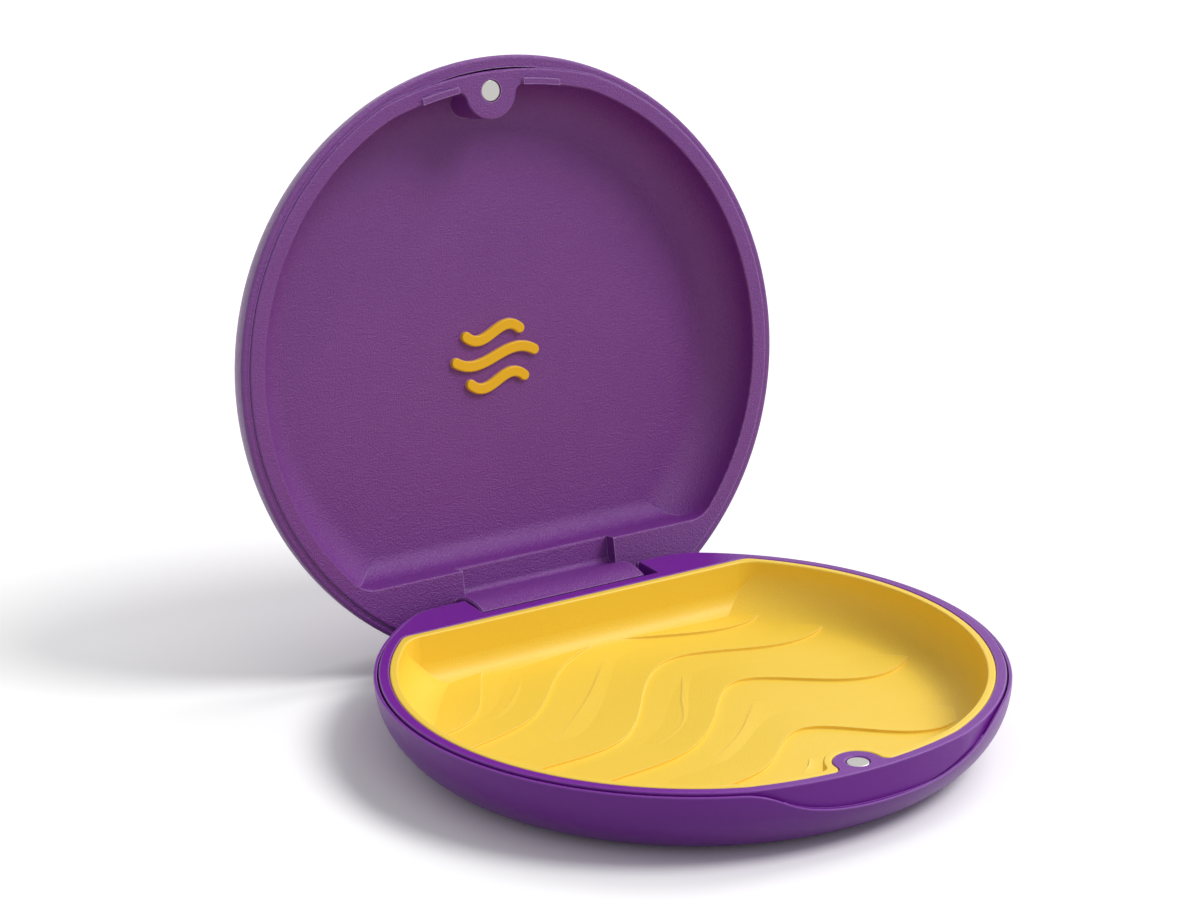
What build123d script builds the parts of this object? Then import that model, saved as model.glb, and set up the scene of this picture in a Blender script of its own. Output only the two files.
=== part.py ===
from build123d import *
import math
import os

os.makedirs("parts", exist_ok=True)

# Round hinged case for clear dental aligners, standing open. Millimetres, +Z up.
# The origin is the middle of the round outline, on the surface the case stands on.
# +X runs along the hinge, the hinge is at +Y and the thumb opening at -Y.

# Round outlines, from the liner outwards
liner_radius = 39.9        # outer edge of the yellow liner's rim
liner_fit = 0.05           # gap between the liner's rim and the frame
land_width = 1.4           # flat purple land around the liner
seam = 0.2                 # dark gap between the base's land and its outer shell
lid_seam = 0.03            # the lid's land and shell are pushed together almost without a gap
lip = 0.5                  # shell edge outside the seam, at the top
lid_bulge = 0.25           # how far the lid's side stands out past the base
tray_land_step = 0.15      # the lid's land is this much smaller in radius than the base's

# Straight backs, measured from the middle of the case
liner_back = 28.69         # the liner's rim meets the frame here
tray_back = 27.66          # back wall of the lid's hollow
land_back = 35.75          # back edge of both lands
back_corner = 10.5         # rounded corners of the shells, between round side and back
corner_ease = 0.1          # the corners reach this much past the round side where they meet it
liner_corner = 2.5         # the same corners on the liner's rim
hollow_corner = 4.5        # the same corners inside the two hollows
hollow_ease = 0.02         # the liner's hollow corners reach this much past its back wall
tray_ease = 0.005          # the lid's hollow is cut this much past its round wall

# Heights and walls
base_depth = 10.4          # floor to the land of the base
side_flat = 0.45           # the side is straight this far from the land, then rounded
back_round = 2.5           # rounding between the back wall and the foot or crown
shell_wall = 1.7
floor_gap = 0.5            # between a shell's floor and the floor of the hollow in it
lip_drop = 0.35            # a shell's edge stands this much behind its land
land_height = 2.0          # height of the two rings that carry the lands
closed_gap = 0.4           # the lands stay this far apart when the case is shut
lip_break = 0.5            # rounding of the lid shell's edge
land_break = 0.35          # rounding of the outer edge of the lid's land
edge_break = 0.2           # small roundings and chamfers on the edges that catch the light
scoop_break = 0.15         # the same along the base shell's edge and the thumb scoop
rim_break = 0.25           # the same on the rims of the two hollows

# Liner
rim_width = 1.1            # flat top of the liner's edge
rim_height = 1.2
liner_step = 0.3           # the rim overhangs the liner's body by this much
liner_wall = 1.2
hollow_flat = 1.0          # the round wall is straight this far down, then a soft curve
chord_round = 3.0          # tighter curve between straight wall and floor
ledge_fit = 0.1            # gap between the liner's body and the ledge that carries it
wave_step = 0.4            # height of the wave steps on the liner's floor
wave_slope = 6.5           # length of the gentle slope behind each step
wave_root = 0.3            # how deep the waves are merged into the floor

# Wave lines on the liner's floor, as the points that each line passes from left to right
wave_lines = [
    [(-36.3, 9.6), (-33, 10.25), (-27, 12.25), (-21.5, 18.75), (-17, 26.25)],
    [(-36, 3.2), (-31, 4.75), (-19.6, 8.85), (-10, 18.75), (1.7, 26.25), (17.5, 22.05), (28, 24.25)],
    [(-34.6, -7.2), (-28, -5.75), (-14.4, -4.05), (-4.3, 5.85), (8.1, 16.55), (20.5, 13.25), (32.5, 15.75)],
    [(-31, -16), (-23, -13.75), (-9.3, -11.55), (1.6, -3.05), (10.8, 5.05), (21.5, -1.35), (35, -0.25)],
    [(-21.5, -27), (-12, -23.25), (-2.3, -20.75), (8.8, -12.95), (19.5, -20.95), (31, -19.25)],
]

# Lid tray
tray_rim = 2.2             # width of the lid's land beside the hollow
tray_wall = 1.2

# Magnets that hold the case shut, a standard disc
magnet_diameter = 3.0
magnet_height = 2.0
magnet_fit = 0.05
magnet_sink = 0.1
magnet_inset = 2.27        # middle of a magnet, from the outer edge of the liner's rim
pocket_wall = 0.9          # around and under a magnet
base_tongue = 3.2          # radius of the frame's tongue around its magnet
lid_tongue = 3.98          # radius of the tray's tongue around its magnet
tongue_fillet = 1.2        # where the tongue leaves the land

# Two low bumpers on the lid's land, beside the tongue
bumper_inner = 5.1         # distance of the near end from the middle
bumper_outer = 10.8
bumper_width = 0.85
bumper_gap = 0.05          # left above the liner's rim when shut

# Thumb scoop in the edge of the base shell
scoop_turn = 6.0           # degrees from the front towards +X
scoop_half = 21.5
scoop_tail = 2.5           # the scoop runs out this much further at its +X end
scoop_shoulder = 15.1
shoulder_drop = 2.1
scoop_flat = 8.0
flat_drop = 3.7
scoop_drop = 3.95
apron_half = 31.0          # degrees either way that the frame's wall reaches behind it
apron_height = 4.9         # its foot is this far below the land
apron_wall = 0.75
apron_fit = 0.1

# Both lands and both hollows are slightly flattened at the front
front_ease = 0.85          # by this much in the middle
front_shift = 13.7         # the flatter arc's middle is this far behind the case's middle
front_blend = 12.0         # rounding where the two arcs meet

# Hinge
hinge_y = 34.58
hinge_drop = 3.39          # hinge line below the land of the base
lid_opening = 99.9         # degrees from shut to the stop
pin_diameter = 1.5
pin_run = 0.04             # radial clearance of the pin in the knuckle
knuckle_half = 12.3        # half the width of the recess, and the knuckle's reach at +X
knuckle_left = 13.95       # the knuckle's reach at -X
notch_half = 14.16         # half the width of the notch in the base
notch_reach = 5.1          # radius swept clear in front of the hinge
recess_depth = 2.0         # step in the lid's land in front of the knuckle
recess_fillet = 0.8
root_front = 31.4          # front of the knuckle at the lid's land
belly_front = 30.75        # its most forward point
belly_drop = 3.6
tip_front = 32.0           # its lower front corner
tip_drop = 7.7
heel_front = 33.25         # its lower back corner
heel_drop = 7.3
stop_gap = 0.1
recess_wall = 1.2
saddle_width = 3.4
saddle_wall = 1.2
saddle_front = 1.9         # saddle in front of the hinge line
keeper_fit = 0.05

# Raised motif on the inside of the lid: three short wave bars
bar_lengths = (8.6, 12.6, 8.6)
bar_pitch = 3.4
bar_width = 1.5
bar_swing = 0.8
bar_rise = 0.6
bar_seat = 0.4

# Worked out from the values above
hair = 0.01
land_radius = liner_radius + liner_fit + land_width
tray_land_radius = land_radius - tray_land_step
magnet_place = liner_radius - magnet_inset
lid_depth = base_depth
side_round = base_depth - side_flat
shell_top = base_depth - lip_drop
slot_top = base_depth - land_height
liner_depth = base_depth - shell_wall - floor_gap - liner_wall
tray_depth = lid_depth - shell_wall - floor_gap - tray_wall
hollow_round = liner_depth - hollow_flat
base_radius = land_radius + seam + lip
lid_radius = base_radius + lid_bulge
shell_back = land_back + seam + lip
tray_radius = tray_land_radius - tray_rim
lid_land = base_depth + closed_gap
hinge_z = base_depth - hinge_drop
hinge_line = Axis((0, hinge_y, hinge_z), (1, 0, 0))
barrel_radius = shell_back - hinge_y
knuckle_top = lid_land + recess_depth + recess_wall
far = 3 * base_radius


def eased_disc(radius):
    """Disc whose front is a flatter arc."""
    with BuildSketch() as outline:
        Circle(radius)
        with Locations((0, front_shift)):
            Circle(radius - front_ease + front_shift, mode=Mode.INTERSECT)
        offset(amount=-front_blend, kind=Kind.ARC, mode=Mode.REPLACE)
        offset(amount=front_blend, kind=Kind.ARC, mode=Mode.REPLACE)
    return outline.sketch


def cut_back(disc, radius, back, corner):
    """A disc with a straight back and two rounded back corners."""
    with BuildSketch() as outline:
        add(disc)
        with Locations((0, back + radius)):
            Rectangle(3 * radius, 2 * radius, mode=Mode.SUBTRACT)
        fillet(outline.vertices().sort_by(Axis.Y)[-2:], corner)
    return outline.sketch


def d_shape(radius, back, corner):
    """Round outline of a shell, with its straight back."""
    with BuildSketch() as disc:
        Circle(radius)
    return cut_back(disc.sketch, radius, back, corner)


def eased_shape(radius, back, corner):
    """Outline of a land or a hollow: the same, with the eased front."""
    return cut_back(eased_disc(radius), radius, back, corner)


def bayed_shape(radius, back, corner, bay):
    """The eased outline with a bay for the tongue that holds the magnet."""
    with BuildSketch() as outline:
        add(eased_shape(radius, back, corner))
        with Locations((0, -magnet_place)):
            Circle(bay, mode=Mode.SUBTRACT)
        with Locations((0, -magnet_place - bay)):
            Rectangle(2 * bay, 2 * bay, mode=Mode.SUBTRACT)
        offset(amount=-tongue_fillet, kind=Kind.ARC, mode=Mode.REPLACE)
        offset(amount=tongue_fillet, kind=Kind.ARC, mode=Mode.REPLACE)
    return outline.sketch


def block(shape, low, high):
    """Straight block over a flat outline, between two heights."""
    with BuildPart() as body:
        with BuildSketch(Plane.XY.offset(low)):
            add(shape)
        extrude(amount=high - low)
    return body.part


def pan(radius, back, corner, land, depth, rounding):
    """Solid pan below the land, or dome above it where the depth is positive."""
    end = land + depth
    with BuildPart() as body:
        with BuildSketch(Plane.XY.offset(land)):
            Circle(radius)
        extrude(amount=depth)
        fillet(body.edges().filter_by_position(Axis.Z, end - hair, end + hair), rounding)
        with BuildSketch(Plane.XY.offset(land)):
            add(d_shape(radius + corner_ease, back, corner))
        extrude(amount=depth, mode=Mode.INTERSECT)
    return body.part


def hollow(shape, radius, back, land, depth):
    """Space for the aligners: soft round wall and steep straight back wall."""
    end = land + depth
    with BuildPart() as space:
        with BuildSketch(Plane.XY.offset(land)):
            add(eased_disc(radius))
        extrude(amount=depth)
        fillet(space.edges().filter_by_position(Axis.Z, end - hair, end + hair), hollow_round)
        with BuildSketch(Plane.YZ.offset(-far)) as side:
            with Locations((back - far / 2, land + depth / 2)):
                Rectangle(far, abs(depth))
            foot_corner = side.vertices().filter_by_position(Axis.X, back - hair, back + hair)
            fillet(foot_corner.filter_by_position(Axis.Y, end - hair, end + hair), chord_round)
        extrude(amount=2 * far, mode=Mode.INTERSECT)
        with BuildSketch(Plane.XY.offset(land)):
            add(shape)
        extrude(amount=depth, mode=Mode.INTERSECT)
    return space.part


def sector(turn, half_angle, low, high):
    """Wedge seen from above, centred on a direction counted from the front."""
    left = math.radians(turn - half_angle)
    right = math.radians(turn + half_angle)
    with BuildPart() as wedge:
        with BuildSketch(Plane.XY.offset(low)):
            with BuildLine():
                Polyline((0, 0), (far * math.sin(left), -far * math.cos(left)),
                         (far * math.sin(right), -far * math.cos(right)), close=True)
            make_face()
        extrude(amount=high - low)
    return wedge.part


def shell_inset(amount):
    """Outline sizes of the base shell, moved inwards."""
    return base_radius - amount, shell_back - amount, back_corner - amount


def lid_inset(amount):
    """Outline sizes of the lid shell, moved inwards."""
    return lid_radius - amount, shell_back - amount, back_corner - amount


def back_edges(body, low, high):
    """Edges where the straight back and its corners meet the round bottom or crown."""
    reach = shell_back - back_corner
    found = body.edges().filter_by_position(Axis.Z, low, high)
    return found.filter_by_position(Axis.Y, reach, far)


def apron_core(inset):
    """Round body just inside the base shell, as far out as the land of the frame."""
    with BuildPart() as core:
        add(pan(*shell_inset(lip + inset), shell_top, lip + inset - shell_top,
                side_round - lip - inset))
        add(block(eased_shape(land_radius - inset, land_back, back_corner), 0, base_depth),
            mode=Mode.INTERSECT)
    return core.part


def apron(wall, gap):
    """Wall of the frame behind the thumb scoop, grown outwards by a gap."""
    with BuildPart() as screen:
        add(apron_core(-gap))
        add(apron_core(wall), mode=Mode.SUBTRACT)
        add(sector(scoop_turn, apron_half + 2 * gap, base_depth - apron_height - gap, slot_top),
            mode=Mode.INTERSECT)
    return screen.part


def knuckle_blank():
    """Side view of the lid's knuckle, drawn with the case shut."""
    root = lid_land
    with BuildPart() as blank:
        with BuildSketch(Plane.YZ.offset(-knuckle_left)):
            with BuildLine():
                ThreePointArc((root_front, root), (belly_front, root - belly_drop),
                              (tip_front, root - tip_drop))
                Line((tip_front, root - tip_drop), (heel_front, root - heel_drop))
                Line((heel_front, root - heel_drop), (hinge_y, hinge_z - barrel_radius))
                RadiusArc((hinge_y, hinge_z - barrel_radius), (shell_back, hinge_z),
                          -barrel_radius)
                Line((shell_back, hinge_z), (shell_back, knuckle_top))
                Line((shell_back, knuckle_top), (root_front, knuckle_top))
                Line((root_front, knuckle_top), (root_front, root))
            make_face()
        extrude(amount=knuckle_left + knuckle_half)
        chamfer(blank.faces().filter_by(Axis.X).edges(), edge_break)
    return blank.part


scoop_end = scoop_half + scoop_tail
scoop_angle = math.radians(scoop_turn)
scoop_plane = Plane(origin=(0, 0, base_depth),
                    x_dir=(math.cos(scoop_angle), math.sin(scoop_angle), 0),
                    z_dir=(math.sin(scoop_angle), -math.cos(scoop_angle), 0))

# Outer shell of the base
sill_slope = math.radians(lid_opening - 90)
with BuildPart() as base_shell:
    add(pan(*shell_inset(0), shell_top, -shell_top, side_round))
    fillet(back_edges(base_shell, -hair, side_round), back_round)
    add(pan(*shell_inset(shell_wall), shell_top, shell_wall - shell_top,
            side_round - shell_wall), mode=Mode.SUBTRACT)
    # Saddles for the ends of the pin
    with BuildSketch(Plane.XY.offset(hinge_z - barrel_radius)):
        for side in (-1, 1):
            with Locations((side * (notch_half + saddle_width / 2), hinge_y - saddle_front)):
                Rectangle(saddle_width, saddle_front + barrel_radius / 2,
                          align=(Align.CENTER, Align.MIN))
    extrude(amount=slot_top - hinge_z + barrel_radius)
    # Rebate for the land of the frame
    add(block(d_shape(*shell_inset(lip)), slot_top, base_depth), mode=Mode.SUBTRACT)
    add(apron(2 * shell_wall, apron_fit), mode=Mode.SUBTRACT)
    # Slots that take the pin from above
    with BuildSketch(Plane.YZ.offset(-notch_half - saddle_width + saddle_wall)):
        with Locations((hinge_y, hinge_z)):
            Circle(pin_diameter / 2)
        with Locations((hinge_y, (hinge_z + base_depth) / 2)):
            Rectangle(pin_diameter, base_depth - hinge_z)
    extrude(amount=2 * (notch_half + saddle_width - saddle_wall), mode=Mode.SUBTRACT)
    # Notch for the knuckle, with a sloping sill that stops the lid
    with BuildSketch(Plane.YZ.offset(-notch_half)):
        with BuildLine():
            sill_front = hinge_y - notch_reach
            sill_back = shell_back + shell_wall
            touch_y = hinge_y - barrel_radius * math.sin(sill_slope)
            touch_z = hinge_z - barrel_radius * math.cos(sill_slope)
            front_z = touch_z - (sill_front - touch_y) * math.tan(sill_slope) - stop_gap
            back_z = touch_z - (sill_back - touch_y) * math.tan(sill_slope) - stop_gap
            Polyline((sill_front, front_z), (sill_back, back_z), (sill_back, base_depth),
                     (sill_front, base_depth), close=True)
        make_face()
    extrude(amount=2 * notch_half, mode=Mode.SUBTRACT)
    # Thumb scoop
    with BuildSketch(scoop_plane):
        with BuildLine():
            Spline((-scoop_half, -lip_drop), (-scoop_shoulder, -lip_drop - shoulder_drop),
                   (-scoop_flat, -lip_drop - flat_drop), (0, -lip_drop - scoop_drop),
                   (scoop_flat, -lip_drop - flat_drop),
                   (scoop_shoulder, -lip_drop - shoulder_drop), (scoop_end, -lip_drop),
                   tangents=((1, 0), (1, 0)))
            Line((scoop_end, -lip_drop), (scoop_end, lip_drop))
            Line((scoop_end, lip_drop), (-scoop_half, lip_drop))
            Line((-scoop_half, lip_drop), (-scoop_half, -lip_drop))
        make_face()
    extrude(amount=far, mode=Mode.SUBTRACT)
    crest = base_shell.edges().filter_by_position(Axis.Z, shell_top - hair, shell_top + hair)
    curves = base_shell.edges().filter_by(GeomType.BSPLINE)
    curves = curves.filter_by_position(Axis.Y, -base_radius, -base_radius / 2)
    fillet(crest + curves.sort_by(SortBy.LENGTH)[-1:], scoop_break)
base_shell.part.label = "base_shell"
export_step(base_shell.part, "parts/base_shell.step")

# Land ring of the base, with its tongue, ledge, magnet pocket and front wall
ledge_top = base_depth - rim_height
boss_foot = base_depth - magnet_sink - magnet_height - pocket_wall
boss_radius = magnet_diameter / 2 + pocket_wall
liner_floor = base_depth - liner_depth
body_radius = liner_radius - liner_step
body_back = liner_back - liner_step
with BuildPart() as base_frame:
    add(block(eased_shape(land_radius, land_back, back_corner - seam - lip), slot_top,
              base_depth))
    add(block(bayed_shape(liner_radius + liner_fit, liner_back + liner_fit, liner_corner,
                          base_tongue), ledge_top, base_depth), mode=Mode.SUBTRACT)
    add(block(bayed_shape(body_radius + ledge_fit, body_back + ledge_fit, liner_corner,
                          base_tongue), slot_top, ledge_top), mode=Mode.SUBTRACT)
    add(apron(apron_wall, 0))
    # Boss under the tongue, with the pocket for the magnet
    with BuildSketch(Plane.XY.offset(boss_foot)):
        with Locations((0, -magnet_place)):
            Circle(boss_radius)
        Circle(body_radius, mode=Mode.INTERSECT)
    extrude(amount=slot_top - boss_foot)
    with Locations((0, -magnet_place, base_depth)):
        Hole(magnet_diameter / 2 + magnet_fit, magnet_sink + magnet_height)
    # Keepers that close the pin's slots from above
    with BuildSketch(Plane.XY.offset(hinge_z + pin_diameter / 2 + keeper_fit)):
        for side in (-1, 1):
            with Locations((side * (notch_half + (saddle_width - saddle_wall) / 2), hinge_y)):
                Rectangle(saddle_width - saddle_wall - 2 * keeper_fit,
                          pin_diameter - 2 * keeper_fit)
    extrude(amount=slot_top - hinge_z - pin_diameter / 2)
    # Room for the knuckle to swing
    with BuildSketch(Plane.YZ.offset(-notch_half)):
        with Locations((hinge_y, hinge_z)):
            Circle(notch_reach)
        with Locations((hinge_y + notch_reach, hinge_z)):
            Rectangle(2 * notch_reach, 2 * notch_reach)
    extrude(amount=2 * notch_half, mode=Mode.SUBTRACT)
    fillet(base_frame.edges().filter_by_position(Axis.Z, base_depth - hair, base_depth + hair),
           edge_break)
base_frame.part.label = "base_frame"
export_step(base_frame.part, "parts/base_frame.step")


def wave(points):
    """Low step along a wavy line on the liner's floor, with a gentle slope behind it."""
    with BuildPart() as ridge:
        with BuildLine(Plane.XY.offset(liner_floor)) as path:
            Spline(*points)
        along = path.line % 0
        with BuildSketch(Plane(origin=path.line @ 0, x_dir=Axis.Z.direction.cross(along),
                               z_dir=along)):
            with BuildLine():
                Polyline((0, -wave_root), (0, wave_step), (wave_slope, 0),
                         (wave_slope, -wave_root), close=True)
            make_face()
        sweep(path=path.line)
    return ridge.part


# Yellow liner, dropped into the frame from above
hollow_bay = base_tongue + liner_fit + rim_width
liner_shape = bayed_shape(liner_radius - rim_width, liner_back - rim_width + hollow_ease,
                          hollow_corner, hollow_bay)
with BuildPart() as aligner_space:
    add(hollow(liner_shape, liner_radius - rim_width, liner_back - rim_width, base_depth,
               -liner_depth))
    for points in wave_lines:
        add(wave(points), mode=Mode.SUBTRACT)
with BuildPart() as base_liner:
    add(pan(body_radius, body_back, liner_corner, base_depth, -liner_depth - liner_wall,
            hollow_round + liner_wall))
    add(block(bayed_shape(body_radius, body_back, liner_corner,
                          base_tongue + liner_fit + liner_step), 0, base_depth),
        mode=Mode.INTERSECT)
    add(block(bayed_shape(liner_radius, liner_back, liner_corner, base_tongue + liner_fit),
              ledge_top + liner_fit, base_depth))
    add(aligner_space.part, mode=Mode.SUBTRACT)
    fillet(base_liner.edges().filter_by_position(Axis.Z, base_depth - hair, base_depth + hair),
           rim_break)
base_liner.part.label = "base_liner"
export_step(base_liner.part, "parts/base_liner.step")

# Magnet in the frame's tongue
with BuildPart(Plane.XY.offset(base_depth - magnet_sink)) as base_magnet:
    with Locations((0, -magnet_place, 0)):
        Cylinder(magnet_diameter / 2, magnet_height, align=(Align.CENTER, Align.CENTER, Align.MAX))
    fillet(base_magnet.edges().filter_by(GeomType.CIRCLE), edge_break)
base_magnet.part.label = "base_magnet"
export_step(base_magnet.part, "parts/base_magnet.step")

# Hinge pin, lying in the two saddles
pin_length = 2 * (notch_half + saddle_width - saddle_wall) - 2 * keeper_fit
with BuildPart() as hinge_pin:
    with BuildSketch(Plane.YZ.offset(-pin_length / 2)):
        with Locations((hinge_y, hinge_z)):
            Circle(pin_diameter / 2)
    extrude(amount=pin_length)
    chamfer(hinge_pin.edges().filter_by(GeomType.CIRCLE), edge_break)
hinge_pin.part.label = "hinge_pin"
export_step(hinge_pin.part, "parts/hinge_pin.step")

# The lid's pieces are drawn shut over the base first
lid_edge = lid_land + lip_drop
lid_crown = lid_land + lid_depth
ring_top = lid_land + land_height
with BuildPart() as shut_shell:
    add(pan(*lid_inset(0), lid_edge, lid_crown - lid_edge, side_round))
    fillet(back_edges(shut_shell, lid_crown - side_round, lid_crown + hair), back_round)
    fillet(shut_shell.edges().filter_by_position(Axis.Z, lid_edge - hair, lid_edge + hair),
           lip_break)
    add(pan(*lid_inset(shell_wall), lid_edge, lid_crown - shell_wall - lid_edge,
            side_round - shell_wall), mode=Mode.SUBTRACT)
    add(block(eased_shape(tray_land_radius + lid_seam, land_back + lid_seam,
                          back_corner - seam - lip + lid_seam), lid_land, ring_top),
        mode=Mode.SUBTRACT)
    # Gap in the back wall for the knuckle
    with BuildSketch(Plane.XY.offset(lid_land)):
        with Locations((-knuckle_left - ledge_fit, shell_back)):
            Rectangle(knuckle_left + knuckle_half + 2 * ledge_fit, 2 * shell_wall + 2 * seam,
                      align=(Align.MIN, Align.CENTER))
    extrude(amount=knuckle_top + ledge_fit - lid_land, mode=Mode.SUBTRACT)

# Raised motif in the middle of the tray: three wave bars
tray_floor = lid_land + tray_depth
with BuildPart() as shut_inlay:
    with BuildSketch(Plane.XY.offset(tray_floor - bar_rise)):
        for place, length in zip((-bar_pitch, 0, bar_pitch), bar_lengths):
            reach = length / 2
            with BuildLine():
                Spline((-reach, place), (-reach / 2, place + bar_swing),
                       (reach / 2, place - bar_swing), (reach, place))
            trace(line_width=bar_width)
            with Locations((-reach, place), (reach, place)):
                Circle(bar_width / 2)
    extrude(amount=bar_rise + bar_seat)
    face_edges = shut_inlay.faces().filter_by(Axis.Z).group_by(Axis.Z)[0].edges()
    fillet(face_edges, edge_break)


def inside_land(edge):
    """True for an edge that runs round the hollow, not round the outside of the land."""
    start = edge @ 0
    return math.hypot(start.X, start.Y) < tray_radius + hair


def outside_land(edge):
    """True for an edge that runs round the outside of the land."""
    return not inside_land(edge)


# Inner tray of the lid, with its land, tongue, bumpers and hinge knuckle
tray_shape = bayed_shape(tray_radius + tray_ease, tray_back, hollow_corner, lid_tongue)
with BuildPart() as shut_tray:
    add(pan(tray_radius + tray_wall, tray_back + tray_wall, hollow_corner + tray_wall, lid_land,
            tray_depth + tray_wall, hollow_round + tray_wall))
    add(block(bayed_shape(tray_radius + tray_wall, tray_back + tray_wall, hollow_corner,
                          lid_tongue - tray_wall), 0, far), mode=Mode.INTERSECT)
    add(block(eased_shape(tray_land_radius, land_back, back_corner - seam - lip), lid_land,
              ring_top))
    # Boss above the magnet
    with BuildSketch(Plane.XY.offset(ring_top)):
        with Locations((0, -magnet_place)):
            Circle(boss_radius)
        Circle(tray_radius + tray_wall / 2, mode=Mode.INTERSECT)
    extrude(amount=magnet_sink + magnet_height + pocket_wall - land_height)
    # Plate over the recess in front of the knuckle
    with BuildSketch(Plane.XY.offset(ring_top)):
        with Locations((0, tray_back)):
            Rectangle(2 * (knuckle_half + recess_wall), hinge_y - tray_back,
                      align=(Align.CENTER, Align.MIN))
    extrude(amount=recess_wall)
    add(hollow(tray_shape, tray_radius, tray_back, lid_land, tray_depth), mode=Mode.SUBTRACT)
    with BuildSketch(Plane.YZ.offset(-knuckle_half)) as recess:
        with Locations((root_front, lid_land)):
            Rectangle(root_front / 2, recess_depth, align=(Align.MAX, Align.MIN))
        fillet(recess.vertices().group_by(Axis.Y)[-1].sort_by(Axis.X)[-1], recess_fillet)
    extrude(amount=2 * knuckle_half, mode=Mode.SUBTRACT)
    add(knuckle_blank())
    # Bore for the hinge pin
    with BuildSketch(Plane.YZ.offset(-knuckle_left)):
        with Locations((hinge_y, hinge_z)):
            Circle(pin_diameter / 2 + pin_run)
    extrude(amount=knuckle_left + knuckle_half, mode=Mode.SUBTRACT)
    # Soft rim round the hollow, and round the step down into the recess
    land_edges = shut_tray.edges().filter_by_position(Axis.Z, lid_land - hair, lid_land + hair)
    round_edges = land_edges.filter_by(GeomType.CIRCLE)
    fillet(round_edges.filter_by(outside_land), land_break)
    land_edges = shut_tray.edges().filter_by_position(Axis.Z, lid_land - hair, lid_land + hair)
    land_edges = land_edges.filter_by_position(Axis.Y, -far, tray_back + hair)
    fillet(land_edges.filter_by(inside_land), rim_break)
    lip_edges = shut_tray.edges().filter_by_position(Axis.Z, ring_top - hair, ring_top + hair)
    lip_edges = lip_edges.filter_by_position(Axis.Y, tray_back - hair, tray_back + hair)
    fillet(lip_edges, recess_fillet / 2)
    with Locations((0, -magnet_place, lid_land)):
        Cylinder(magnet_diameter / 2 + magnet_fit, magnet_sink + magnet_height,
                 align=(Align.CENTER, Align.CENTER, Align.MIN), mode=Mode.SUBTRACT)
    add(shut_inlay.part, mode=Mode.SUBTRACT)
    # Two low bumpers beside the tongue
    with BuildSketch(Plane.XY.offset(lid_land)):
        for side in (-1, 1):
            with Locations((side * (bumper_inner + bumper_outer) / 2, -tray_radius)):
                Rectangle(bumper_outer - bumper_inner, tray_radius)
        add(eased_disc(tray_radius + bumper_width), mode=Mode.INTERSECT)
        add(eased_disc(tray_radius), mode=Mode.SUBTRACT)
    extrude(amount=bumper_gap - closed_gap)

with BuildPart(Plane.XY.offset(lid_land + magnet_sink)) as shut_magnet:
    with Locations((0, -magnet_place, 0)):
        Cylinder(magnet_diameter / 2, magnet_height, align=(Align.CENTER, Align.CENTER, Align.MIN))
    fillet(shut_magnet.edges().filter_by(GeomType.CIRCLE), edge_break)


def opened(piece):
    """The piece as it lies with the lid swung open onto its stop."""
    return piece.part.rotate(hinge_line, -lid_opening)


# The same pieces with the lid open
with BuildPart() as lid_shell:
    add(opened(shut_shell))
lid_shell.part.label = "lid_shell"
export_step(lid_shell.part, "parts/lid_shell.step")

with BuildPart() as lid_tray:
    add(opened(shut_tray))
lid_tray.part.label = "lid_tray"
export_step(lid_tray.part, "parts/lid_tray.step")

with BuildPart() as lid_magnet:
    add(opened(shut_magnet))
lid_magnet.part.label = "lid_magnet"
export_step(lid_magnet.part, "parts/lid_magnet.step")

with BuildPart() as lid_inlay:
    add(opened(shut_inlay))
lid_inlay.part.label = "lid_inlay"
export_step(lid_inlay.part, "parts/lid_inlay.step")
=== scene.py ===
# %% [markdown]
# The object is a round hinged case for clear dental aligners, standing open.
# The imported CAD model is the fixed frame: every solid is already in its place, in metres.
# Blender gives each solid its finish, and adds a few low steps to the floor of the liner.

# %% Load the frame
import bmesh
import bpy
import math
from mathutils import Matrix, Vector


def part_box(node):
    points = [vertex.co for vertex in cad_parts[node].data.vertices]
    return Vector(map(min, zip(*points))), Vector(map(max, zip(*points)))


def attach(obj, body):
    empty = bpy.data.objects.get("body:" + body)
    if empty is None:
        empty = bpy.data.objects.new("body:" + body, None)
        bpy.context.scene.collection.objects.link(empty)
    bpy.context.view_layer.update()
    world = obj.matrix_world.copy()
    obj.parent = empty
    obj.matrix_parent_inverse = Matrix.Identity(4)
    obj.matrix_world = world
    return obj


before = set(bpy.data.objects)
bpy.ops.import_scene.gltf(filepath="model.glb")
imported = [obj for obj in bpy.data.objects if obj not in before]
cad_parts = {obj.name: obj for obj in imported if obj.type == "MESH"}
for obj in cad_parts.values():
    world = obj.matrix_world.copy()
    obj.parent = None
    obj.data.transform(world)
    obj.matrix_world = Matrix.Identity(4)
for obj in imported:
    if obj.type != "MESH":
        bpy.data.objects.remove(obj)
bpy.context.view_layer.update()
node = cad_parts
MM = 0.001
print("solids in the frame:", sorted(node))

# %% [markdown]
# The camera stands where the photographer stood: left of the middle, a little above,
# with a long lens, so the round outlines stay close to true ellipses.
# It could be aimed with a constraint, but three plain turns in degrees say it openly:
# round the vertical, up from looking straight down, and a hair of roll.

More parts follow.
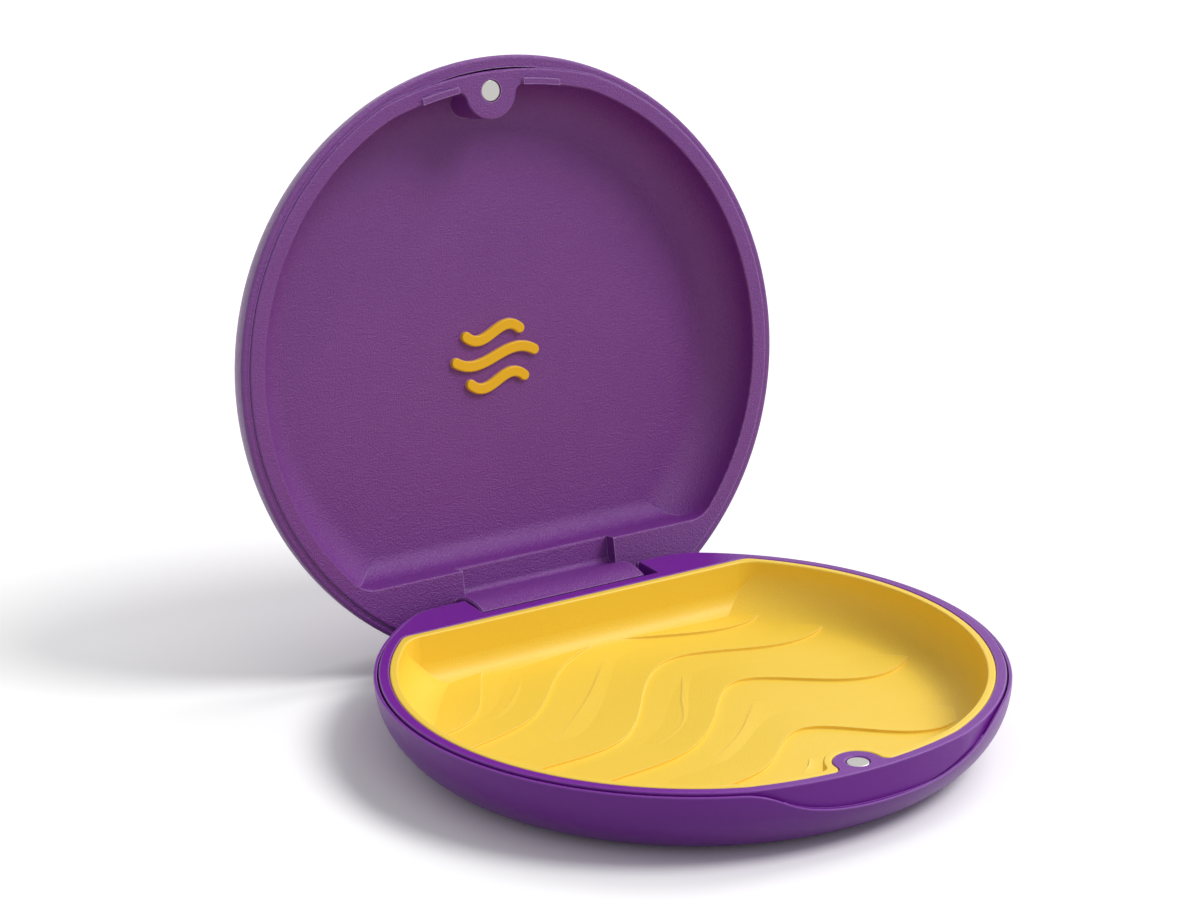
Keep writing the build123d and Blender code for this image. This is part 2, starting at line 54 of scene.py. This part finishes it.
# %% Camera
CAMERA_PLACE = (-0.2449, -0.37658, 0.19614)
TURN, TILT, ROLL = -31.511, 70.855, -0.427
LENS = 110.266
SENSOR_WIDTH = 36
camera_data = bpy.data.cameras.new("camera")
camera_data.lens = LENS
camera_data.sensor_width = SENSOR_WIDTH
camera = bpy.data.objects.new("camera", camera_data)
bpy.context.scene.collection.objects.link(camera)
camera.matrix_world = (Matrix.Translation(CAMERA_PLACE)
                       @ Matrix.Rotation(math.radians(TURN), 4, "Z")
                       @ Matrix.Rotation(math.radians(TILT), 4, "X")
                       @ Matrix.Rotation(math.radians(ROLL), 4, "Z"))
bpy.context.scene.camera = camera
bpy.context.scene.view_settings.view_transform = "Standard"
print("camera distance from the middle:", round(Vector(CAMERA_PLACE).length, 3), "m")

# %% [markdown]
# Materials are chains of nodes, and most of them start the same way: a Principled shader
# that carries the plain numbers of the finish. One helper makes that start,
# so each later cell only says what is special about its own surface.

# %% Helpers for nodes


def plain_finish(name, colour, roughness, **sockets):
    """A material with one Principled shader, and its node tree."""
    material = bpy.data.materials.new(name)
    material.use_nodes = True
    shader = material.node_tree.nodes["Principled BSDF"]
    shader.inputs["Base Color"].default_value = (*colour, 1)
    shader.inputs["Roughness"].default_value = roughness
    for socket, value in sockets.items():
        shader.inputs[socket.replace("_", " ")].default_value = value
    return material, material.node_tree, shader


def add_node(tree, kind, **values):
    """A new node with some of its settings and inputs filled in."""
    new = tree.nodes.new(kind)
    for key, value in values.items():
        if hasattr(new, key):
            setattr(new, key, value)
        else:
            new.inputs[key.replace("_", " ")].default_value = value
    return new


def srgb(red, green, blue):
    """A colour as a paint chart gives it, turned into the light values that nodes use."""
    def linear(value):
        value = value / 255
        return value / 12.92 if value <= 0.04045 else ((value + 0.055) / 1.055) ** 2.4
    return tuple(linear(value) for value in (red, green, blue))


# %% [markdown]
# The floor of the picture is white paper that keeps only a soft grey shadow.
# More light would burn out the plastic as well, so the paper itself is whiter where it is
# seen or mirrored. As a source of bounced light it is a plain grey, which leaves the
# underside of the case as dark as it is in the photograph.

# %% Floor
PAPER_SEEN = 1.09
PAPER_BOUNCE = 0.42
PAPER_HALF = 30


def seen_directly(tree, seen_value, other_value):
    """A value that differs between what is seen or mirrored and what only lights."""
    path = add_node(tree, "ShaderNodeLightPath")
    glossy = add_node(tree, "ShaderNodeMath", operation="MAXIMUM")
    tree.links.new(path.outputs["Is Glossy Ray"], glossy.inputs[0])
    tree.links.new(path.outputs["Is Transmission Ray"], glossy.inputs[1])
    seen = add_node(tree, "ShaderNodeMath", operation="MAXIMUM")
    tree.links.new(path.outputs["Is Camera Ray"], seen.inputs[0])
    tree.links.new(glossy.outputs[0], seen.inputs[1])
    choose = add_node(tree, "ShaderNodeMix")
    choose.inputs["A"].default_value = other_value
    choose.inputs["B"].default_value = seen_value
    tree.links.new(seen.outputs[0], choose.inputs["Factor"])
    return choose.outputs["Result"]


def paper_floor():
    """A wide sheet under the case that shows white, with the shadow on it."""
    mesh = bpy.data.meshes.new("paper")
    shape = bmesh.new()
    bmesh.ops.create_grid(shape, x_segments=1, y_segments=1, size=PAPER_HALF)
    shape.to_mesh(mesh)
    shape.free()
    floor = bpy.data.objects.new("paper", mesh)
    bpy.context.scene.collection.objects.link(floor)
    material = bpy.data.materials.new("paper")
    material.use_nodes = True
    tree = material.node_tree
    tree.nodes.remove(tree.nodes["Principled BSDF"])
    out = tree.nodes["Material Output"]
    paper = add_node(tree, "ShaderNodeBsdfDiffuse")
    tree.links.new(seen_directly(tree, PAPER_SEEN, PAPER_BOUNCE), paper.inputs["Color"])
    tree.links.new(paper.outputs[0], out.inputs["Surface"])
    mesh.materials.append(material)
    return floor


print("floor:", paper_floor().dimensions[:2], "m")

# %% [markdown]
# The studio is a white room with two large soft boxes on the right, one in front of the
# case and one behind it. The room is the world: an even, gentle light from everywhere.
# The soft boxes are sun lamps with a wide angle, because their light is the same all over
# the floor and their shadows have soft edges. Each one has the direction it stands in,
# its strength, and how wide it looks in degrees.

# %% Light
ROOM_LIGHT = 0.46
ROOM_SEEN = 1
SOFT_BOXES = (
    ("front_box", (0.5, -0.4, 0.76), 1.6, 24),
    ("rear_box", (0.86, 0.2, 0.9), 1.0, 36),
)


def studio():
    """The white room and its soft boxes."""
    world = bpy.data.worlds.new("white_room")
    world.use_nodes = True
    tree = world.node_tree
    background = tree.nodes["Background"]
    background.inputs["Color"].default_value = (1, 1, 1, 1)
    tree.links.new(seen_directly(tree, ROOM_SEEN, ROOM_LIGHT), background.inputs["Strength"])
    bpy.context.scene.world = world
    for name, towards, strength, angle in SOFT_BOXES:
        lamp_data = bpy.data.lights.new(name, "SUN")
        lamp_data.energy = strength
        lamp_data.angle = math.radians(angle)
        lamp = bpy.data.objects.new(name, lamp_data)
        lamp.rotation_mode = "QUATERNION"
        lamp.rotation_quaternion = Vector(towards).to_track_quat("Z", "Y")
        bpy.context.scene.collection.objects.link(lamp)
        print(name, "strength", strength, "angle", angle)


studio()

# %% [markdown]
# Every plastic part of the case comes out of a mould whose steel was spark-eroded, which
# leaves a fine even grain. It is far too small for geometry, so it is a height that a Bump
# node reads. A much larger, faint cloud makes the gloss a little uneven. One node group
# holds both, so that each plastic can set its own grain size and gloss.

# %% Moulded grain
CLOUD_SCALE = 90.0


def moulded_grain():
    """Group that gives the height and the gloss of a fine spark-eroded mould texture."""
    group = bpy.data.node_groups.new("moulded_grain", "ShaderNodeTree")
    for name, start in (("Grain Size", 4000.0), ("Rough Low", 0.4), ("Rough High", 0.5)):
        socket = group.interface.new_socket(name, in_out="INPUT", socket_type="NodeSocketFloat")
        socket.default_value = start
    for name in ("Height", "Roughness", "Cloud"):
        group.interface.new_socket(name, in_out="OUTPUT", socket_type="NodeSocketFloat")
    source = group.nodes.new("NodeGroupInput")
    result = group.nodes.new("NodeGroupOutput")
    place = add_node(group, "ShaderNodeTexCoord")
    pits = add_node(group, "ShaderNodeTexNoise", Detail=3.0, Roughness=0.6)
    group.links.new(place.outputs["Object"], pits.inputs["Vector"])
    group.links.new(source.outputs["Grain Size"], pits.inputs["Scale"])
    group.links.new(pits.outputs["Fac"], result.inputs["Height"])
    cloud = add_node(group, "ShaderNodeTexNoise", Scale=CLOUD_SCALE, Detail=4.0)
    group.links.new(place.outputs["Object"], cloud.inputs["Vector"])
    group.links.new(cloud.outputs["Fac"], result.inputs["Cloud"])
    spread = add_node(group, "ShaderNodeMapRange")
    group.links.new(cloud.outputs["Fac"], spread.inputs["Value"])
    group.links.new(source.outputs["Rough Low"], spread.inputs["To Min"])
    group.links.new(source.outputs["Rough High"], spread.inputs["To Max"])
    group.links.new(spread.outputs["Result"], result.inputs["Roughness"])
    return group


GRAIN = moulded_grain()
print(GRAIN.name, "nodes", len(GRAIN.nodes))

# %% [markdown]
# Every rim is drawn by a thin pale line. Here that line is a painted highlight: the colour is
# mixed paler along each edge, concave ones too. A Bevel node knows where an edge is: near one,
# the rounded normal that it gives differs from the real one. It only serves as a mask here,
# the real roundings are in the CAD model.

# %% Painted edge highlights
EDGE_SAMPLES = 4
EDGE_FULL = 0.85


def painted_edge_highlights():
    """Group that gives a mask along the edges of a part, where a painted highlight goes."""
    group = bpy.data.node_groups.new("painted_edge_highlights", "ShaderNodeTree")
    for name, start in (("Width", 0.2 * MM), ("Strength", 0.5)):
        socket = group.interface.new_socket(name, in_out="INPUT", socket_type="NodeSocketFloat")
        socket.default_value = start
    group.interface.new_socket("Mask", in_out="OUTPUT", socket_type="NodeSocketFloat")
    source = group.nodes.new("NodeGroupInput")
    result = group.nodes.new("NodeGroupOutput")
    rounded = group.nodes.new("ShaderNodeBevel")
    rounded.samples = EDGE_SAMPLES
    group.links.new(source.outputs["Width"], rounded.inputs["Radius"])
    real = group.nodes.new("ShaderNodeNewGeometry")
    same = add_node(group, "ShaderNodeVectorMath", operation="DOT_PRODUCT")
    group.links.new(rounded.outputs["Normal"], same.inputs[0])
    group.links.new(real.outputs["Normal"], same.inputs[1])
    mask = add_node(group, "ShaderNodeMapRange")
    mask.inputs["From Min"].default_value = 1.0
    mask.inputs["From Max"].default_value = EDGE_FULL
    group.links.new(same.outputs["Value"], mask.inputs["Value"])
    group.links.new(source.outputs["Strength"], mask.inputs["To Max"])
    group.links.new(mask.outputs["Result"], result.inputs["Mask"])
    return group


EDGE_HIGHLIGHTS = painted_edge_highlights()
print(EDGE_HIGHLIGHTS.name, "nodes", len(EDGE_HIGHLIGHTS.nodes))

# %% [markdown]
# A moulded plastic then takes from the groups its grain as bump, its uneven gloss, a colour
# that drifts very slightly, as pigment does in a real moulding, and painted highlights on its
# edges.
# The lid's purple has a coarser, deeper grain than the base's, and a paler, greyer colour,
# partly painted light: it stands for light and haze on the lid that the lamps do not give it.

# %% Moulded plastic


def moulded_plastic(name, colour, deeper, grain_size, grain_depth, rough, specular,
                    highlight_colour, highlight_width, highlight_strength):
    """Pigmented plastic with mould grain and a painted highlight along its edges: purple and
    yellow parts differ only in values.
    """
    material, tree, shader = plain_finish(name, colour, rough[0], Specular_IOR_Level=specular)
    mould = add_node(tree, "ShaderNodeGroup")
    mould.node_tree = GRAIN
    mould.inputs["Grain Size"].default_value = grain_size
    mould.inputs["Rough Low"].default_value = rough[0]
    mould.inputs["Rough High"].default_value = rough[1]
    bump = add_node(tree, "ShaderNodeBump", Strength=1.0, Distance=grain_depth)
    tree.links.new(mould.outputs["Height"], bump.inputs["Height"])
    tree.links.new(bump.outputs["Normal"], shader.inputs["Normal"])
    tree.links.new(mould.outputs["Roughness"], shader.inputs["Roughness"])
    tint = add_node(tree, "ShaderNodeMix", data_type="RGBA")
    tint.inputs["A"].default_value = (*colour, 1)
    tint.inputs["B"].default_value = (*deeper, 1)
    tree.links.new(mould.outputs["Cloud"], tint.inputs["Factor"])
    # Painted highlight: the edge mask mixes the colour paler along every edge.
    highlight_mask = add_node(tree, "ShaderNodeGroup")
    highlight_mask.node_tree = EDGE_HIGHLIGHTS
    highlight_mask.inputs["Width"].default_value = highlight_width
    highlight_mask.inputs["Strength"].default_value = highlight_strength
    highlighted = add_node(tree, "ShaderNodeMix", data_type="RGBA")
    highlighted.inputs["B"].default_value = (*highlight_colour, 1)
    tree.links.new(tint.outputs["Result"], highlighted.inputs["A"])
    tree.links.new(highlight_mask.outputs["Mask"], highlighted.inputs["Factor"])
    tree.links.new(highlighted.outputs["Result"], shader.inputs["Base Color"])
    print(name, "rough", rough, "edges", round(highlight_width / MM, 2), "mm")
    return material


# Colours of the painted edge highlights.
HIGHLIGHT_PURPLE = srgb(206, 172, 224)
HIGHLIGHT_YELLOW = srgb(255, 244, 185)
SHELL_PURPLE = moulded_plastic(
    "shell_purple", srgb(118, 30, 152), srgb(111, 26, 144),
    grain_size=6000.0, grain_depth=0.04 * MM, rough=(0.3, 0.36), specular=0.32,
    highlight_colour=HIGHLIGHT_PURPLE, highlight_width=0.2 * MM, highlight_strength=1.0)
# The lid's paler, greyer colour is partly painted light, for light and haze the lamps do not
# give the lid.
TRAY_PURPLE = moulded_plastic(
    "tray_purple", srgb(124, 52, 147), srgb(116, 45, 138),
    grain_size=4200.0, grain_depth=0.2 * MM, rough=(0.3, 0.36), specular=0.5,
    highlight_colour=HIGHLIGHT_PURPLE, highlight_width=0.2 * MM, highlight_strength=0.8)
LINER_YELLOW = moulded_plastic(
    "liner_yellow", srgb(245, 209, 70), srgb(242, 204, 62),
    grain_size=4200.0, grain_depth=0.04 * MM, rough=(0.42, 0.5), specular=0.5,
    highlight_colour=HIGHLIGHT_YELLOW, highlight_width=0.12 * MM, highlight_strength=0.9)
INLAY_YELLOW = moulded_plastic(
    "inlay_yellow", srgb(246, 190, 30), srgb(242, 184, 26),
    grain_size=5000.0, grain_depth=0.01 * MM, rough=(0.34, 0.4), specular=0.3,
    highlight_colour=HIGHLIGHT_YELLOW, highlight_width=0.1 * MM, highlight_strength=0.3)

# %% [markdown]
# The magnets are nickel-plated discs, and the pin is a length of drawn steel wire.
# Both are metal, and what tells them apart is the direction of their fine scratches:
# the disc is tumbled, so its marks run every way, the wire's run along it.

# %% Metals
SCRATCH_SCALE = 3000.0
SCRATCH_DEPTH = 0.004 * MM


def scratched_metal(name, colour, stretch, rough):
    """Bright metal with fine marks, longer in one direction where stretch says so."""
    material, tree, shader = plain_finish(name, colour, rough[0], Metallic=1.0)
    place = add_node(tree, "ShaderNodeTexCoord")
    along = add_node(tree, "ShaderNodeMapping")
    along.inputs["Scale"].default_value = stretch
    marks = add_node(tree, "ShaderNodeTexNoise", Scale=SCRATCH_SCALE, Detail=6.0)
    tree.links.new(place.outputs["Object"], along.inputs["Vector"])
    tree.links.new(along.outputs["Vector"], marks.inputs["Vector"])
    spread = add_node(tree, "ShaderNodeMapRange")
    spread.inputs["To Min"].default_value = rough[0]
    spread.inputs["To Max"].default_value = rough[1]
    tree.links.new(marks.outputs["Fac"], spread.inputs["Value"])
    tree.links.new(spread.outputs["Result"], shader.inputs["Roughness"])
    bump = add_node(tree, "ShaderNodeBump", Strength=1.0, Distance=SCRATCH_DEPTH)
    tree.links.new(marks.outputs["Fac"], bump.inputs["Height"])
    tree.links.new(bump.outputs["Normal"], shader.inputs["Normal"])
    print(name, "rough", rough)
    return material


EVERY_WAY = (1, 1, 1)
ALONG_X = (0.04, 1, 1)
NICKEL = scratched_metal("nickel_plate", srgb(192, 190, 186), EVERY_WAY, (0.28, 0.42))
WIRE = scratched_metal("drawn_wire", srgb(196, 196, 198), ALONG_X, (0.22, 0.34))

# %% [markdown]
# A solid of the frame keeps its shape, and only the material in its slot changes.
# The lid's shell wears the same grainy purple as its tray, because in the photograph the
# rim of the one runs into the land of the other without a change of tone.

# %% Dress the solids
FINISH = {
    "base_shell": SHELL_PURPLE,
    "base_frame": SHELL_PURPLE,
    "lid_shell": TRAY_PURPLE,
    "lid_tray": TRAY_PURPLE,
    "base_liner": LINER_YELLOW,
    "lid_inlay": INLAY_YELLOW,
    "base_magnet": NICKEL,
    "lid_magnet": NICKEL,
    "hinge_pin": WIRE,
}
for name, finish in FINISH.items():
    node[name].material_slots[0].material = finish
    print(name, "wears", finish.name, len(node[name].data.polygons), "faces")

# %% [markdown]
# The liner's floor is a set of low steps like sand behind the waves of a beach. The long
# ones are in the CAD model. Between them lie short weak ones, which fade at both ends.
# They could be painted as dark lines, but a real step takes its light and dark sides from
# the lamps. Each one follows a smooth line through a few points, in millimetres.

# %% Lines of the short steps
SHORT_STEPS = (
    ((-29, 12.25), (-22.5, 20.75), (-18.6, 26.5)),
    ((-28, 9.75), (-19.7, 14.95), (-10.5, 25.5)),
    ((-20, 1.75), (-9.5, 11.25), (0, 22.25)),
    ((-17, -9.95), (-4.7, -3.75), (1.3, 4.75), (6, 11.75)),
    ((-8, -15.75), (1, -9.55), (9, -1.25)),
    ((0.9, -24.35), (2.8, -22.9), (4.5, -20.75)),
    ((4.8, -25.35), (5.1, -24.5), (5.4, -23.55)),
)
JUST_UNDER_ONE = 0.999999


def smooth_place(points, share):
    """Point and direction at a share of the way along a smooth line through the points."""
    points = [Vector(point) * MM for point in points]
    ends = [2 * points[0] - points[1]] + points + [2 * points[-1] - points[-2]]
    at = min(share * (len(points) - 1), len(points) - 2 + JUST_UNDER_ONE)
    first = int(at)
    t = at - first
    a, b, c, d = ends[first:first + 4]
    place = 0.5 * (2 * b + (c - a) * t + (2 * a - 5 * b + 4 * c - d) * t ** 2
                   + (3 * b - a - 3 * c + d) * t ** 3)
    ahead = 0.5 * ((c - a) + 2 * (2 * a - 5 * b + 4 * c - d) * t
                   + 3 * (3 * b - a - 3 * c + d) * t ** 2)
    return place, ahead.normalized()


print("lines:", len(SHORT_STEPS), "the first starts at", smooth_place(SHORT_STEPS[0], 0)[0])

# %% [markdown]
# A step is a grid laid along its line: steep on the left, with a long slope to the right.
# STEP_SIDE gives that side view, as millimetres from the line and as a share of the rise.
# Lines shorter than FULL_WIDTH_FROM have a narrower slope, in proportion.
# The grid is then thickened downwards into the floor, so that it is a closed solid. Its
# two ends and its right edge lie a little below the floor, so that it fades into it.

# %% Short steps on the liner's floor
LINER_BOTTOM = 1.2 * MM
LINER_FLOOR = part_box("base_liner")[0][2] + LINER_BOTTOM
STEP_RISE = 0.22 * MM
STEP_SIDE = ((0.0, 0.8), (0.1, 0.97), (0.25, 1.0), (1.4, 0.64), (2.8, 0.34), (4.6, 0.12),
             (6.4, 0.0), (7.0, -0.05))
STEP_FOOT = 0.5 * MM
FULL_WIDTH_FROM = 20 * MM
STEP_COLUMNS = 36
STEP_FADE = 0.7
STEP_SUNK = 0.05


def short_step(name, points):
    """A closed low wedge along a line, with no height at its two ends."""
    shape = bmesh.new()
    rows = len(STEP_SIDE) - 1
    length = (smooth_place(points, 1)[0] - smooth_place(points, 0)[0]).length
    width = min(length / FULL_WIDTH_FROM, 1)
    bmesh.ops.create_grid(shape, x_segments=STEP_COLUMNS, y_segments=rows, size=0.5)
    for vert in shape.verts:
        share = vert.co.x + 0.5
        across, height = STEP_SIDE[rows - round((vert.co.y + 0.5) * rows)]
        place, ahead = smooth_place(points, share)
        aside = Vector((ahead.y, -ahead.x)) * across * width * MM
        rise = STEP_RISE * (math.sin(math.pi * share) ** STEP_FADE * height - STEP_SUNK)
        vert.co = (place.x + aside.x, place.y + aside.y, LINER_FLOOR + rise)
    skirt = bmesh.ops.extrude_face_region(shape, geom=shape.faces[:])
    for vert in skirt["geom"]:
        if isinstance(vert, bmesh.types.BMVert):
            vert.co.z = LINER_FLOOR - STEP_FOOT
    bmesh.ops.recalc_face_normals(shape, faces=shape.faces[:])
    mesh = bpy.data.meshes.new(name)
    shape.to_mesh(mesh)
    shape.free()
    mesh.materials.append(LINER_YELLOW)
    piece = bpy.data.objects.new(name, mesh)
    bpy.context.scene.collection.objects.link(piece)
    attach(piece, "base")
    return piece


for number, points in enumerate(SHORT_STEPS, 1):
    step = short_step(f"short_step_{number}", points)
    print(step.name, "faces", len(step.data.polygons))
